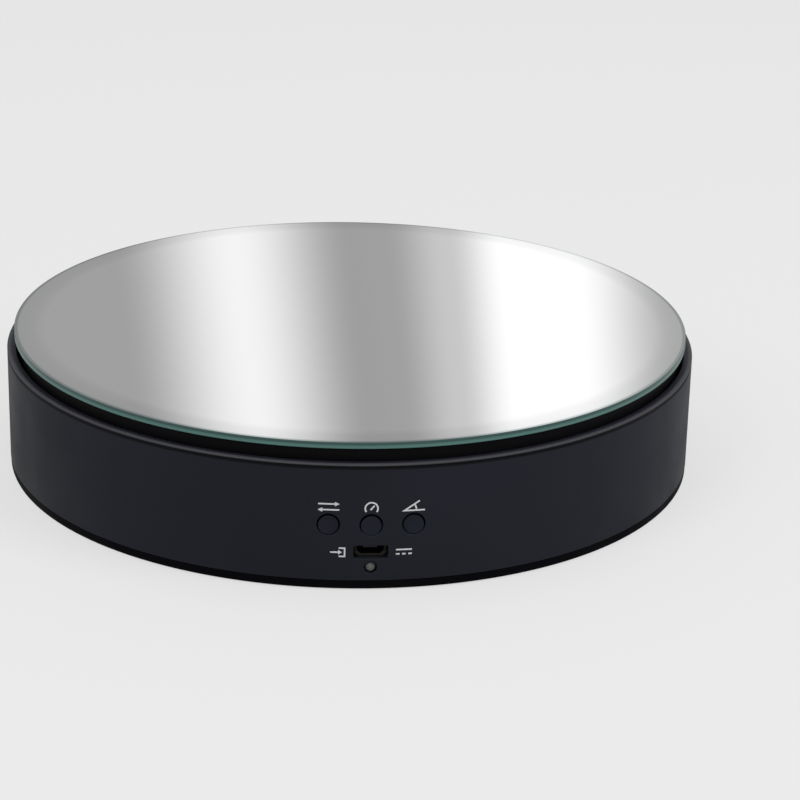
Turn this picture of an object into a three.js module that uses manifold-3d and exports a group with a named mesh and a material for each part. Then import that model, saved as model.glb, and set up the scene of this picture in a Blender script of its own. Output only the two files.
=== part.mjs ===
// Motor-driven turntable display stand: a black drum with a mirror platter, three push buttons,
// a USB power socket and a status lamp.
// Units are millimetres and +Z is up. The floor is z = 0, the platter turns about the Z axis,
// and the control panel faces -Y.
import * as THREE from 'three';
import { mergeVertices } from 'three/addons/utils/BufferGeometryUtils.js';
import Module from 'manifold-3d';

const wasm = await Module();
wasm.setup();

// ---------------------------------------------------------------- driving dimensions

const STAND_H = 40; // floor to the mirror's face
const BODY_R = 97.5; // housing
const WALL = 2.5;
const RIM_Z = 34.8; // top of the housing's rim
const RIM_ROUND = 0.8; // rounding of the rim's outer corner
const SEAM = 0.1; // gap between two pieces that rest on each other
const FIT = 0.15; // gap round a pin, screw or shaft in its hole
const PAST = 1; // how far a cutting shape runs past the face it cuts
const INTO = 0.5; // how deep a boss or rib runs into the wall it stands on

const FOOT = { r: 7, edge: 0.5, gap: 0.2, proud: 0.3, recess: 1.2, atR: 82 };
const COVER = { topZ: 2.7, chamfer: 0.7, lipIn: 92.9, lipOut: 94.6, lipTopZ: 4.1 };
const DECK = { bottomZ: 22.4, topZ: 24.8 };
const COVER_SCREW = { atR: 87, shankR: 1.3, headR: 2.6, headH: 1.4, length: 9 };
const COVER_BOSS_R = 4;

const MIRROR = { r: 95.4, thick: 1.8, arris: 0.3 };
const TAPE = { r: 90, inner: 12, thick: 0.4, below: 0.05 };
const PLATTER = {
  r: 94, centreHole: 8.6, topZ: 37.7, plateZ: 35.4, skirtZ: 33, skirt: 2, edge: 0.5, hubWall: 2.6,
};
const RIB = { bottomZ: 33.9, thick: 1.6, count: 6, spans: [[12.5, 41], [47.5, 78], [82, 93]] };

const GEAR = {
  module: 1.25, ringTeeth: 64, pinionTeeth: 12, pressureDeg: 20, backlash: 0.16,
  dedendum: 1.25, ringAddendum: 0.6, // in modules
};
const RING = { outR: 48.5, bottomZ: 27, topZ: 32.5, screwR: 45.3 };
const GEAR_SCREW = { shankR: 1.2, headR: 2.3, headH: 1.3, length: 7, sunk: 1.8 };
const PINION_Z = [27.2, 32.2];

const MOTOR = {
  r: 14, h: 19, edge: 1, shaftOffset: 8, shaftR: 2.5, shaftH: 10, flat: 3, flatH: 6, bossR: 4.5, bossH: 1.5,
};
const EAR = { halfSpan: 17.5, endR: 3.5, thick: 0.8, holeR: 2, bossR: 3.4, bossTopZ: 26.6, holeTopZ: 26.2 };
const MOTOR_SCREW = { shankR: 1.5, headR: 2.8, headH: 1.6, length: 4.4 };
const HOOD = {
  halfWidth: 7.3, out: 4.2, innerY: -9, bottomZ: 5.4, topZ: 19.6, exitR: 1.9, exitZ: 12.5, gap: 0.3,
};
const SPINDLE = { r: 4, flangeR: 6, flangeH: 1.5, padR: 8, padH: 2, bossR: 6, bossTopZ: 27.1 };
const TOP_SCREW = { shankR: 1.5, headR: 3, headH: 1.6, length: 7, depth: 8 };
const WASHER = { r: 6, thick: 0.8 };
const BEARING = {
  bore: 4.1, out: 10.9, width: 7, land: 1.4,
  balls: 7, pitchR: 7.5, ballR: 1.8, grooveGap: 0.3, cageHalf: 0.4,
};
const ROLLER = { r: 4, width: 5, atR: 80, axleR: 1, axleLength: 10.6, centreZ: 29.4, trackZ: 33.5 };
const ROLLER_EAR = { thick: 2, halfWidth: 3.2, above: 2.4, gap: 0.4 };

const PANEL = {
  buttonZ: 18.2, buttonStep: 10.9, socketZ: 10.7, lampZ: 6.4,
  padY: -93.3, padHalf: 15.6, padInWallY: -96, padBottomZ: 4.9,
};
const BUTTON = { r: 2.7, holeR: 3, flangeR: 3.7, flangeH: 0.6, recess: 0.2, dish: 0.25, rim: 0.3 };
const SWITCH = { side: 6, depth: 3.4, bore: 2.4, plungerR: 1.6, plungerOut: 1.2, plungerIn: 1.6 };
const BOARD = { width: 44, bottomZ: 4.3, topZ: 22, thick: 1.6, frontY: -87.8, screwX: 18, screwZ: 13 };
const BOARD_SCREW = {
  shankR: 1, headR: 2, headH: 1.2, length: 5, bossR: 3, bossY: -94.2, holeR: 1.3, holeY: -91.5,
};
const SOCKET = {
  width: 7.5, height: 2.9, chamfer: 0.9, sheet: 0.3, depth: 7.4, flare: 0.35, window: [8.9, 3.6],
};
const LAMP = { r: 1.5, flangeR: 1.9, length: 5.3, sunk: 0.1, leadX: 1.27, leadHalf: 0.25 };

// Sides of round parts, from the drum down to a screw.
const BIG = 48;
const MEDIUM = 24;
const SMALL = 16;
const TINY = 8;

// ---------------------------------------------------------------- derived places

const INNER_R = BODY_R - WALL;
const RING_PITCH_R = (GEAR.module * GEAR.ringTeeth) / 2;
const PINION_PITCH_R = (GEAR.module * GEAR.pinionTeeth) / 2;
const SHAFT_X = -(RING_PITCH_R - PINION_PITCH_R); // the motor shaft stands left of the platter's axis
const MOTOR_Y = -MOTOR.shaftOffset; // the can's centre, so that its leads point at the panel
const MOTOR_TOP_Z = DECK.bottomZ;
const BEARING_Z = SPINDLE.bossTopZ + SEAM + BEARING.width / 2;
const BUTTON_X = [-PANEL.buttonStep, 0, PANEL.buttonStep];
const BUTTON_NAMES = ['direction', 'speed', 'angle'];
const quarterTurns = [0, 1, 2, 3].map((k) => (k * Math.PI) / 2);
const diagonals = quarterTurns.map((a) => a + Math.PI / 4);

// ---------------------------------------------------------------- materials

const finish = (color, roughness, metalness = 0) =>
  new THREE.MeshStandardMaterial({ color, roughness, metalness });
const blackShell = finish(0x222327, 0.5);
const blackCover = finish(0x0d0d0f, 0.7);
const blackPlatter = finish(0x101012, 0.6);
const blackCap = finish(0x1e1f22, 0.45);
const rubber = finish(0x161616, 0.9);
const mirrorGlass = finish(0xc8cccb, 0.05, 1);
const whiteTape = finish(0xe8e6df, 0.9);
const whiteNylon = finish(0xe6e3da, 0.5);
const steel = finish(0xb4b6b8, 0.3, 1);
const darkSteel = finish(0x3a3b3d, 0.4, 1);
const zincCan = finish(0xa9abad, 0.35, 1);
const bluePlastic = finish(0x2f6fb5, 0.45);
const boardGreen = finish(0x1f5a35, 0.5);
const chipBlack = finish(0x17181a, 0.6);
const lampClear = finish(0x8a8a88, 0.3);
const wireRed = finish(0xa33a2c, 0.5);

// ---------------------------------------------------------------- solids

// A closed three.js geometry as a manifold-3d solid.
function solid(geometry) {
  const bare = geometry.clone();
  for (const name of ['normal', 'uv']) bare.deleteAttribute(name);
  const merged = mergeVertices(bare, 1e-4);
  return new wasm.Manifold(
    new wasm.Mesh({
      numProp: 3,
      vertProperties: new Float32Array(merged.attributes.position.array),
      triVerts: new Uint32Array(merged.index.array),
    })
  );
}

// A manifold-3d solid as a three.js geometry.
function geometryOf(made) {
  const { vertProperties, triVerts } = made.getMesh();
  const geometry = new THREE.BufferGeometry();
  geometry.setAttribute('position', new THREE.BufferAttribute(new Float32Array(vertProperties), 3));
  geometry.setIndex(new THREE.BufferAttribute(new Uint32Array(triVerts), 1));
  geometry.computeVertexNormals();
  return geometry;
}

const join = (first, ...rest) => rest.reduce((all, next) => all.add(next), first);
const cut = (first, ...rest) => rest.reduce((left, next) => left.subtract(next), first);

// A profile of [radius, z] points turned about the Z axis.
function turned(profile, segments) {
  const twiceArea = profile.reduce((sum, [r, z], i) => {
    const [r2, z2] = profile[(i + 1) % profile.length];
    return sum + r * z2 - r2 * z;
  }, 0);
  const ordered = twiceArea > 0 ? profile : [...profile].reverse();
  const points = ordered.map(([r, z]) => new THREE.Vector2(r, z));
  const meetsAxis = points.some((p) => p.x === 0);
  if (!meetsAxis) points.push(points[0].clone());
  return new THREE.LatheGeometry(points, segments).rotateX(Math.PI / 2);
}

// An outline of [x, y] points, with holes, from z0 to z1.
function prism(outline, z0, z1, holes = []) {
  const shape = new THREE.Shape(outline.map(([x, y]) => new THREE.Vector2(x, y)));
  shape.holes = holes.map((hole) => new THREE.Path(hole.map(([x, y]) => new THREE.Vector2(x, y))));
  return new THREE.ExtrudeGeometry(shape, { depth: z1 - z0, bevelEnabled: false }).translate(0, 0, z0);
}

const polar = (r, angle) => [r * Math.cos(angle), r * Math.sin(angle)];
const turn = (i, count) => (i / count) * 2 * Math.PI;
const circle = (r, segments) => Array.from({ length: segments }, (_, i) => polar(r, turn(i, segments)));

// A disc, or a ring where inner is given, between two heights.
function disc(r, z0, z1, segments, inner = 0) {
  const profile = [[inner, z0], [r, z0], [r, z1], [inner, z1]];
  return turned(profile, segments);
}

const block = (x0, x1, y0, y1, z0, z1) =>
  new THREE.BoxGeometry(x1 - x0, y1 - y0, z1 - z0).translate((x0 + x1) / 2, (y0 + y1) / 2, (z0 + z1) / 2);

// A rod along Y from y0 to y1, at x and z.
const rodY = (r, y0, y1, x, z, segments) =>
  new THREE.CylinderGeometry(r, r, y1 - y0, segments).translate(x, (y0 + y1) / 2, z);

// A rod along X, centred on the local origin.
const rodX = (r, length, segments) =>
  new THREE.CylinderGeometry(r, r, length, segments).rotateZ(Math.PI / 2);

const at = (geometry, x, y, z = 0) => geometry.translate(x, y, z);

function mesh(name, shape, material) {
  const made = new THREE.Mesh(shape.isBufferGeometry ? shape : geometryOf(shape), material);
  made.name = name;
  return made;
}

function group(...members) {
  const made = new THREE.Group();
  made.add(...members);
  return made;
}

// ---------------------------------------------------------------- gears

// The outline of an involute gear with its first tooth centred on +X, each flank in a few steps.
// A ring gear's hole is the same outline, with the teeth's thickness as the width of its spaces.
function gearOutline(teeth, rootR, tipR, thickness, steps) {
  const pitchR = (GEAR.module * teeth) / 2;
  const pressure = THREE.MathUtils.degToRad(GEAR.pressureDeg);
  const baseR = pitchR * Math.cos(pressure);
  const roll = (r) => {
    const t = Math.acos(Math.min(1, baseR / r));
    return Math.tan(t) - t;
  };
  const halfAngle = (r) => thickness / 2 / pitchR + roll(pitchR) - roll(Math.max(r, baseR));
  const from = Math.max(rootR, baseR);
  const radii = Array.from({ length: steps + 1 }, (_, i) => from + ((tipR - from) * i) / steps);
  if (rootR < baseR) radii.unshift(rootR);
  const outline = [];
  for (let k = 0; k < teeth; k++) {
    const centre = (k / teeth) * 2 * Math.PI;
    for (const r of radii) outline.push(polar(r, centre - halfAngle(r)));
    for (const r of [...radii].reverse()) outline.push(polar(r, centre + halfAngle(r)));
  }
  return outline;
}

const halfPitch = (GEAR.module * Math.PI) / 2;

// ---------------------------------------------------------------- fasteners

// A pan-head screw whose head sits on z = 0 and whose shank points up, with a cross recess.
function screw(name, { shankR, headR, headH, length }) {
  const crown = 0.35;
  const profile = [
    [0, -headH], [headR - crown, -headH], [headR, crown - headH], [headR, 0],
    [shankR, 0], [shankR, length], [0, length],
  ];
  const arm = headR * 0.55;
  const slotHalf = headR * 0.13;
  const deep = headH * 0.6 - headH;
  const made = cut(
    solid(turned(profile, TINY)),
    solid(block(-arm, arm, -slotHalf, slotHalf, -headH - PAST, deep)),
    solid(block(-slotHalf, slotHalf, -arm, arm, -headH - PAST, deep))
  );
  return mesh(name, made, darkSteel);
}

// ---------------------------------------------------------------- housing and cover

// Two ears that carry one roller's axle, on a deck at the local origin, with the axle along X.
function rollerEars() {
  const { thick, halfWidth, above, gap } = ROLLER_EAR;
  const inner = ROLLER.width / 2 + gap;
  const axleZ = ROLLER.centreZ - DECK.topZ;
  const ears = [-1, 1].map((side) => {
    const [x0, x1] = [side * inner, side * (inner + thick)].sort((a, b) => a - b);
    return solid(block(x0, x1, -halfWidth, halfWidth, -INTO, axleZ + above));
  });
  const axleHole = rodX(ROLLER.axleR + FIT, ROLLER.axleLength + 2 * PAST, TINY).translate(0, 0, axleZ);
  return cut(join(...ears), solid(axleHole));
}

function housingShell() {
  const wallBottomZ = COVER.topZ + SEAM;
  const lowerR = INNER_R - 0.2; // the wall is a little thicker below the deck
  const corner = [0, 1, 2].map((i) => {
    const [x, y] = polar(RIM_ROUND, (i / 2) * (Math.PI / 2));
    return [BODY_R - RIM_ROUND + x, RIM_Z - RIM_ROUND + y];
  });
  return solid(turned([
    [0, DECK.bottomZ], [lowerR, DECK.bottomZ], [lowerR, wallBottomZ],
    [BODY_R, wallBottomZ], ...corner, [INNER_R, RIM_Z], [INNER_R, DECK.topZ], [0, DECK.topZ],
  ], BIG));
}

// The bosses and holes for the cover's screws and the motor's.
function housingFastening() {
  const below = COVER.topZ + SEAM;
  const pilotTopZ = COVER_SCREW.length + 3;
  const motorSides = [-1, 1].map((side) => [SHAFT_X + side * EAR.halfSpan, MOTOR_Y]);
  const coverPlaces = diagonals.map((a) => polar(COVER_SCREW.atR, a));
  const coverBoss = () => disc(COVER_BOSS_R, below, DECK.bottomZ + INTO, SMALL);
  const coverHole = () => disc(COVER_SCREW.shankR + FIT, below - PAST, pilotTopZ, TINY);
  const motorBoss = () => disc(EAR.bossR, DECK.topZ - INTO, EAR.bossTopZ, SMALL);
  const motorHole = () => disc(MOTOR_SCREW.shankR + FIT, DECK.bottomZ - PAST, EAR.holeTopZ, TINY);
  return {
    bosses: [
      ...coverPlaces.map((place) => solid(at(coverBoss(), ...place))),
      ...motorSides.map((place) => solid(at(motorBoss(), ...place))),
    ],
    holes: [
      ...coverPlaces.map((place) => solid(at(coverHole(), ...place))),
      ...motorSides.map((place) => solid(at(motorHole(), ...place))),
    ],
  };
}

// The flat pad behind the control panel with the board's bosses, and the holes through them.
function housingPanel() {
  const outside = -BODY_R - PAST;
  const inside = PANEL.padY + 3;
  const { padHalf, padY, padInWallY, padBottomZ, buttonZ, socketZ, lampZ } = PANEL;
  const [windowW, windowH] = SOCKET.window;
  const boardSides = [-1, 1].map((side) => side * BOARD.screwX);
  return {
    bosses: [
      solid(block(-padHalf, padHalf, padInWallY, padY, padBottomZ, DECK.bottomZ + INTO)),
      ...boardSides.map((x) => solid(
        rodY(BOARD_SCREW.bossR, BOARD_SCREW.bossY, BOARD.frontY - SEAM, x, BOARD.screwZ, SMALL))),
    ],
    holes: [
      ...BUTTON_X.map((x) => solid(rodY(BUTTON.holeR, outside, inside, x, buttonZ, SMALL))),
      ...boardSides.map((x) => solid(
        rodY(BOARD_SCREW.shankR + FIT, BOARD_SCREW.holeY, BOARD.frontY + PAST, x, BOARD.screwZ, TINY))),
      solid(block(-windowW / 2, windowW / 2, outside, inside, socketZ - windowH / 2, socketZ + windowH / 2)),
      solid(rodY(LAMP.r + FIT, outside, inside, 0, lampZ, SMALL)),
    ],
  };
}

function housing() {
  const fastening = housingFastening();
  const panel = housingPanel();
  const ears = diagonals.map((a) =>
    rollerEars()
      .rotate([0, 0, THREE.MathUtils.radToDeg(a)])
      .translate([...polar(ROLLER.atR, a), DECK.topZ]));
  const spindleBoss = solid(disc(SPINDLE.bossR, DECK.topZ - INTO, SPINDLE.bossTopZ, MEDIUM));
  const spindlePad = solid(disc(SPINDLE.padR, DECK.bottomZ - SPINDLE.padH, DECK.bottomZ + INTO, MEDIUM));
  const spindleHole = solid(disc(
    SPINDLE.r + FIT, DECK.bottomZ - SPINDLE.padH - PAST, SPINDLE.bossTopZ + PAST, SMALL));
  const shaftHole = solid(at(disc(
    MOTOR.bossR + 2 * FIT, DECK.bottomZ - PAST, DECK.topZ + PAST, SMALL), SHAFT_X, 0));
  return mesh('housing', cut(
    join(housingShell(), spindleBoss, spindlePad, ...ears, ...fastening.bosses, ...panel.bosses),
    spindleHole, shaftHole, ...fastening.holes, ...panel.holes
  ), blackShell);
}

function bottomCover() {
  const z0 = FOOT.proud;
  const edgeR = BODY_R - SEAM;
  const counterboreZ = z0 + COVER_SCREW.headH + SEAM;
  const plate = solid(turned([
    [0, z0], [edgeR - COVER.chamfer, z0], [edgeR, z0 + COVER.chamfer], [edgeR, COVER.topZ],
    [COVER.lipOut, COVER.topZ], [COVER.lipOut, COVER.lipTopZ], [COVER.lipIn, COVER.lipTopZ],
    [COVER.lipIn, COVER.topZ], [0, COVER.topZ],
  ], BIG));
  const recesses = quarterTurns.map((a) =>
    solid(at(disc(FOOT.r + FOOT.gap, z0 - PAST, z0 + FOOT.recess, SMALL), ...polar(FOOT.atR, a))));
  const { atR, shankR, headR } = COVER_SCREW;
  const screwHoles = diagonals.flatMap((a) => [
    solid(at(disc(shankR + FIT, z0 - PAST, COVER.topZ + PAST, TINY), ...polar(atR, a))),
    solid(at(disc(headR + FIT, z0 - PAST, counterboreZ, SMALL), ...polar(atR, a))),
  ]);
  return mesh('bottom_cover', cut(plate, ...recesses, ...screwHoles), blackCover);
}

// A rubber pad with a rounded sole, standing on the floor.
function foot(name, angle) {
  const top = FOOT.proud + FOOT.recess - SEAM;
  const profile = [[0, 0], [FOOT.r - FOOT.edge, 0], [FOOT.r, FOOT.edge], [FOOT.r, top], [0, top]];
  const made = mesh(name, turned(profile, SMALL), rubber);
  made.position.set(...polar(FOOT.atR, angle), 0);
  return made;
}

function coverScrew(name, angle) {
  const made = screw(name, COVER_SCREW);
  made.position.set(...polar(COVER_SCREW.atR, angle), FOOT.proud + COVER_SCREW.headH);
  return made;
}

// ---------------------------------------------------------------- motor and drive

function motorCan() {
  const topZ = MOTOR_TOP_Z - EAR.thick - SEAM;
  const bottomZ = MOTOR_TOP_Z - MOTOR.h;
  const { r, edge } = MOTOR;
  const profile = [[0, bottomZ], [r - edge, bottomZ], [r, bottomZ + edge], [r, topZ], [0, topZ]];
  const made = mesh('motor_can', turned(profile, MEDIUM), zincCan);
  made.position.set(SHAFT_X, MOTOR_Y, 0);
  return made;
}

// The can's lid: a disc with two screw ears and the raised boss round the shaft.
function motorEndPlate() {
  const [z0, z1] = [MOTOR_TOP_Z - EAR.thick, MOTOR_TOP_Z - SEAM];
  const ear = (side) => solid(at(disc(EAR.endR, z0, z1, SMALL), side * EAR.halfSpan, 0));
  const plate = join(
    solid(disc(MOTOR.r, z0, z1, MEDIUM)), ear(-1), ear(1),
    solid(block(-EAR.halfSpan, EAR.halfSpan, -EAR.endR, EAR.endR, z0, z1)),
    solid(at(disc(MOTOR.bossR, z0, MOTOR_TOP_Z + MOTOR.bossH, SMALL), 0, MOTOR.shaftOffset))
  );
  const holes = [-1, 1].map((side) =>
    solid(at(disc(EAR.holeR, z0 - PAST, z1 + PAST, TINY), side * EAR.halfSpan, 0)));
  const shaftHole = solid(at(
    disc(MOTOR.shaftR + FIT, z0 - PAST, MOTOR_TOP_Z + MOTOR.bossH + PAST, SMALL), 0, MOTOR.shaftOffset));
  const made = mesh('motor_end_plate', cut(plate, ...holes, shaftHole), zincCan);
  made.position.set(SHAFT_X, MOTOR_Y, 0);
  return made;
}

// The plastic hood over the can's terminals, where the leads come out.
function motorWireCover() {
  const { halfWidth, out, innerY, bottomZ, topZ, exitR, exitZ, gap } = HOOD;
  const outerY = -MOTOR.r - out;
  const hood = solid(block(-halfWidth, halfWidth, outerY, innerY, bottomZ, topZ));
  const bore = solid(disc(MOTOR.r + gap, bottomZ - PAST, topZ + PAST, MEDIUM));
  const exit = solid(rodY(exitR, outerY - PAST, -MOTOR.r - 1.5, 0, exitZ, TINY));
  const made = mesh('motor_wire_cover', cut(hood, bore, exit), bluePlastic);
  made.position.set(SHAFT_X, MOTOR_Y, 0);
  return made;
}

function motorScrew(name, side) {
  const made = screw(name, MOTOR_SCREW);
  made.position.set(SHAFT_X + side * EAR.halfSpan, MOTOR_Y, MOTOR_TOP_Z - EAR.thick - SEAM);
  return made;
}

// The output shaft, round below and with two flats above.
function motorShaft() {
  const z0 = MOTOR_TOP_Z - EAR.thick + 0.2;
  const z1 = MOTOR_TOP_Z + MOTOR.shaftH;
  const reach = MOTOR.shaftR + PAST;
  const cheek = (side) => {
    const [y0, y1] = [(side * MOTOR.flat) / 2, side * reach].sort((a, b) => a - b);
    return solid(block(-reach, reach, y0, y1, z1 - MOTOR.flatH, z1 + PAST));
  };
  return mesh('motor_shaft', cut(solid(disc(MOTOR.shaftR, z0, z1, SMALL)), cheek(-1), cheek(1)), steel);
}

function pinion() {
  const rootR = PINION_PITCH_R - GEAR.dedendum * GEAR.module;
  const tipR = PINION_PITCH_R + GEAR.module;
  const outline = gearOutline(GEAR.pinionTeeth, rootR, tipR, halfPitch - GEAR.backlash / 2, 3);
  const [z0, z1] = PINION_Z;
  const boreHalf = MOTOR.flat / 2 + FIT;
  const reach = MOTOR.shaftR + PAST;
  const bore = solid(disc(MOTOR.shaftR + FIT, z0 - PAST, z1 + PAST, SMALL))
    .intersect(solid(block(-reach, reach, -boreHalf, boreHalf, z0 - PAST, z1 + PAST)));
  return mesh('pinion', cut(solid(prism(outline, z0, z1)), bore), whiteNylon);
}

function ringGear() {
  const rootR = RING_PITCH_R + GEAR.dedendum * GEAR.module;
  const tipR = RING_PITCH_R - GEAR.ringAddendum * GEAR.module;
  const hole = gearOutline(GEAR.ringTeeth, tipR, rootR, halfPitch + GEAR.backlash / 2, 1);
  const blank = solid(prism(circle(RING.outR, GEAR.ringTeeth), RING.bottomZ, RING.topZ, [hole]));
  const { shankR, headR, sunk } = GEAR_SCREW;
  const screwHoles = diagonals.flatMap((a) => [
    solid(at(disc(shankR + FIT, RING.bottomZ - PAST, RING.topZ + PAST, TINY), ...polar(RING.screwR, a))),
    solid(at(disc(headR + FIT, RING.bottomZ - PAST, RING.bottomZ + sunk + SEAM, SMALL),
      ...polar(RING.screwR, a))),
  ]);
  return mesh('ring_gear', cut(blank, ...screwHoles), whiteNylon);
}

function gearScrew(name, angle) {
  const made = screw(name, GEAR_SCREW);
  made.position.set(...polar(RING.screwR, angle), RING.bottomZ + GEAR_SCREW.sunk);
  return made;
}

// ---------------------------------------------------------------- spindle, bearing and rollers

function spindle() {
  const { r, flangeR, flangeH, padH } = SPINDLE;
  const flangeTop = DECK.bottomZ - padH - SEAM;
  const top = BEARING_Z + BEARING.width / 2 - 0.3;
  const edge = 0.4;
  const post = solid(turned([
    [0, flangeTop - flangeH], [flangeR, flangeTop - flangeH], [flangeR, flangeTop], [r, flangeTop],
    [r, top - edge], [r - edge, top], [0, top],
  ], SMALL));
  const hole = solid(disc(TOP_SCREW.shankR + FIT, top - TOP_SCREW.depth, top + PAST, TINY));
  return mesh('spindle', cut(post, hole), steel);
}

// Half of a bearing race in section: the land's radius, the side away from the balls, and the groove.
function race(landR, backR) {
  const half = BEARING.width / 2;
  const grooveR = BEARING.ballR + BEARING.grooveGap;
  const side = Math.sign(landR - BEARING.pitchR);
  const opening = Math.acos(Math.abs(landR - BEARING.pitchR) / grooveR);
  const steps = 2;
  const groove = Array.from({ length: steps + 1 }, (_, i) => {
    const a = -opening + (2 * opening * i) / steps;
    return [BEARING.pitchR + side * grooveR * Math.cos(a), grooveR * Math.sin(a)];
  });
  return turned([[backR, -half], [landR, -half], ...groove, [landR, half], [backR, half]], MEDIUM);
}

function bearingRing(name, landR, backR) {
  const made = mesh(name, race(landR, backR), steel);
  made.position.z = BEARING_Z;
  return made;
}

// The balls, held in their cage.
function ballCage() {
  const ball = (angle) =>
    solid(at(new THREE.SphereGeometry(BEARING.ballR, TINY, 6), ...polar(BEARING.pitchR, angle)));
  const balls = Array.from({ length: BEARING.balls }, (_, i) => ball(turn(i, BEARING.balls)));
  const band = solid(disc(
    BEARING.pitchR + BEARING.cageHalf, -0.7, 0.7, 2 * BEARING.balls, BEARING.pitchR - BEARING.cageHalf));
  const made = mesh('bearing_ball_cage', join(band, ...balls), steel);
  made.position.z = BEARING_Z;
  return made;
}

function retainingWasher() {
  const z0 = BEARING_Z + BEARING.width / 2 + SEAM;
  const ring = disc(WASHER.r, z0, z0 + WASHER.thick, SMALL, TOP_SCREW.shankR + FIT);
  return mesh('retaining_washer', ring, steel);
}

// The screw that holds the platter's bearing down on the spindle, head up.
function retainingScrew() {
  const made = screw('retaining_screw', TOP_SCREW);
  made.rotation.x = Math.PI;
  made.position.z = BEARING_Z + BEARING.width / 2 + WASHER.thick + 2 * SEAM;
  return made;
}

// A roller and its axle, each about the local X axis.
function roller(name) {
  const half = ROLLER.width / 2;
  const edge = 0.4;
  const profile = [
    [ROLLER.axleR + FIT, -half], [ROLLER.r - edge, -half], [ROLLER.r, edge - half],
    [ROLLER.r, half - edge], [ROLLER.r - edge, half], [ROLLER.axleR + FIT, half],
  ];
  return mesh(name, turned(profile, SMALL).rotateY(Math.PI / 2), whiteNylon);
}

const axle = (name) => mesh(name, rodX(ROLLER.axleR, ROLLER.axleLength, TINY), steel);

function onTrack(made, angle) {
  made.position.set(...polar(ROLLER.atR, angle), ROLLER.centreZ);
  made.rotation.z = angle;
  return made;
}

// ---------------------------------------------------------------- platter and mirror

function platter() {
  const { r: outR, centreHole, skirt, skirtZ, plateZ, topZ, edge, hubWall } = PLATTER;
  const hubR = BEARING.out + hubWall;
  const boreR = BEARING.out + SEAM;
  const hubBottomZ = BEARING_Z - BEARING.width / 2 + 0.4;
  const bearingTopZ = BEARING_Z + BEARING.width / 2 + SEAM;
  const seatBottomZ = RING.topZ + SEAM;
  const into = plateZ + 0.3;
  const plate = solid(turned([
    [centreHole, plateZ], [outR - skirt, plateZ], [outR - skirt, skirtZ], [outR, skirtZ],
    [outR, topZ - edge], [outR - edge, topZ], [centreHole, topZ],
  ], BIG));
  const hub = solid(turned([
    [centreHole, bearingTopZ], [boreR, bearingTopZ], [boreR, hubBottomZ],
    [hubR, hubBottomZ], [hubR, into], [centreHole, into],
  ], MEDIUM));
  const gearSeat = solid(disc(RING.outR, seatBottomZ, into, MEDIUM, RING_PITCH_R + 0.2));
  const trackHalf = ROLLER.width / 2 + 1;
  const track = solid(disc(ROLLER.atR + trackHalf, ROLLER.trackZ, into, MEDIUM, ROLLER.atR - trackHalf));
  const spoke = (angle, r0, r1) =>
    solid(block(r0, r1, -RIB.thick / 2, RIB.thick / 2, RIB.bottomZ, into).rotateZ(angle));
  const ribs = Array.from({ length: RIB.count }, (_, i) => turn(i + 0.5, RIB.count))
    .flatMap((a) => RIB.spans.map(([r0, r1]) => spoke(a, r0, r1)));
  const pilot = () => disc(GEAR_SCREW.shankR + FIT, seatBottomZ - PAST, into + INTO, TINY);
  const screwHoles = diagonals.map((a) => solid(at(pilot(), ...polar(RING.screwR, a))));
  return mesh('platter', cut(join(plate, hub, gearSeat, track, ...ribs), ...screwHoles), blackPlatter);
}

function mirrorTape() {
  const z0 = PLATTER.topZ + TAPE.below;
  return mesh('mirror_tape', disc(TAPE.r, z0, z0 + TAPE.thick, MEDIUM, TAPE.inner), whiteTape);
}

function mirror() {
  const z0 = STAND_H - MIRROR.thick;
  const { r, arris } = MIRROR;
  return mesh('mirror', turned([
    [0, z0], [r, z0], [r, STAND_H - arris], [r - arris, STAND_H], [0, STAND_H],
  ], BIG), mirrorGlass);
}

// ---------------------------------------------------------------- control panel

// Where the outside of the housing's wall is at x, for a piece set into the panel.
const wallY = (x) => -Math.sqrt(BODY_R ** 2 - x ** 2);

function buttonCap(name, x) {
  const faceAt = wallY(x === 0 ? 0 : Math.abs(x) + BUTTON.r) + BUTTON.recess;
  const flangeY = PANEL.padY + SEAM;
  const backY = flangeY + BUTTON.flangeH;
  const { r, flangeR, dish, rim } = BUTTON;
  const profile = [
    [0, faceAt + dish], [r * 0.55, faceAt + dish * 0.6], [r - rim, faceAt], [r, faceAt + rim],
    [r, flangeY], [flangeR, flangeY], [flangeR, backY], [0, backY],
  ];
  const made = mesh(name, turned(profile, SMALL).rotateX(-Math.PI / 2), blackCap);
  made.position.set(x, 0, PANEL.buttonZ);
  return made;
}

const switchFrontY = BOARD.frontY - SEAM - SWITCH.depth;

function switchBody(name, x) {
  const half = SWITCH.side / 2;
  const body = solid(block(x - half, x + half, switchFrontY, BOARD.frontY - SEAM,
    PANEL.buttonZ - half, PANEL.buttonZ + half));
  const bore = solid(rodY(SWITCH.plungerR + FIT, switchFrontY - PAST, switchFrontY + SWITCH.bore,
    x, PANEL.buttonZ, TINY));
  return mesh(name, cut(body, bore), chipBlack);
}

const switchPlunger = (name, x) =>
  mesh(name, rodY(SWITCH.plungerR, switchFrontY - SWITCH.plungerOut, switchFrontY + SWITCH.plungerIn,
    x, PANEL.buttonZ, TINY), chipBlack);

function controlBoard() {
  const { width, bottomZ, topZ, thick, frontY, screwX, screwZ } = BOARD;
  const board = solid(block(-width / 2, width / 2, frontY, frontY + thick, bottomZ, topZ));
  const holes = [-1, 1].map((side) =>
    solid(rodY(BOARD_SCREW.holeR, frontY - PAST, frontY + thick + PAST, side * screwX, screwZ, TINY)));
  return mesh('control_board', cut(board, ...holes), boardGreen);
}

function boardScrew(name, side) {
  const made = screw(name, BOARD_SCREW);
  made.rotation.x = Math.PI / 2;
  made.position.set(side * BOARD.screwX, BOARD.frontY + BOARD.thick + SEAM, BOARD.screwZ);
  return made;
}

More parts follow.
